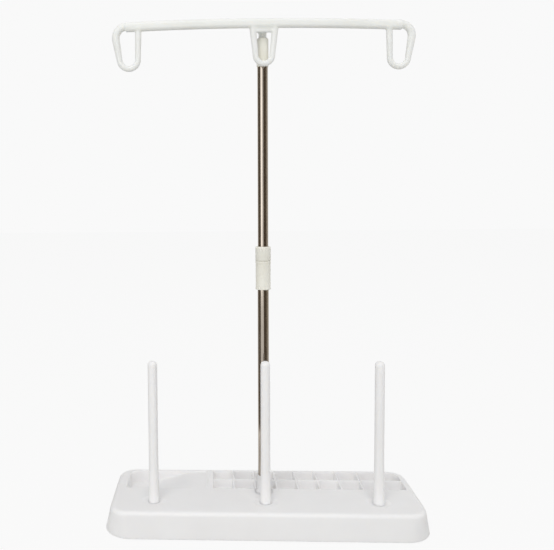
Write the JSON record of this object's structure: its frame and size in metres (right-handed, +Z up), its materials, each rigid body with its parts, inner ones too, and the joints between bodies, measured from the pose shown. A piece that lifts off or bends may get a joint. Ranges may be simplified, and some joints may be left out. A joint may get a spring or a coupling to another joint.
{
  "type": "thread rack",
  "caption": "Free-standing thread rack: low base with bobbin cells and a tool tray, upright spool pins, a telescopic steel pole with a twist lock and a swivelling guide arm with eyes.",
  "frame": {"origin": "on the table, below the middle of the base", "axes": "+Z up along the pole; the user stands on the -Y side, where the spool pins are; +X to the user's right, where the bobbin cells are"},
  "size_m": [0.316, 0.104, 0.4976],
  "materials": {
    "white_plastic": "moulded, satin gloss",
    "tube_steel": "drawn stainless tube, polished along its length",
    "foot_rubber": "matt",
    "screw_steel": "bright zinc plate"
  },
  "bodies": {
    "base": {"base_shell": "white_plastic", "base_cover": "white_plastic", "foot_front_left": "foot_rubber", "foot_front_right": "foot_rubber", "foot_rear_left": "foot_rubber", "foot_rear_right": "foot_rubber", "cover_screws": "screw_steel", "pin_screws": "screw_steel", "spool_pin_left": "white_plastic", "spool_pin_middle": "white_plastic", "spool_pin_right": "white_plastic", "lower_tube": "tube_steel", "tube_plug": "white_plastic", "pole_screw": "screw_steel", "collar_sleeve": "white_plastic", "grip_collet": "white_plastic"},
    "nut": {"lock_nut": "white_plastic"},
    "upper_pole": {"upper_tube": "tube_steel", "slide_bush": "white_plastic", "pole_cap": "white_plastic"},
    "arm": {"guide_arm": "white_plastic"}
  },
  "joints": [
    {"name": "lock_twist", "type": "hinge", "parent": "base", "child": "nut", "pos_m": [0, -0.002, 0.2704], "axis": [0, 0, 1], "range_deg": [0, 90]},
    {"name": "pole_slide", "type": "slide", "parent": "base", "child": "upper_pole", "axis": [0, 0, 1], "range_m": [-0.172, 0]},
    {"name": "arm_swivel", "type": "hinge", "parent": "upper_pole", "child": "arm", "pos_m": [0, -0.002, 0.4813], "axis": [0, 0, 1], "continuous": true}
  ]
}
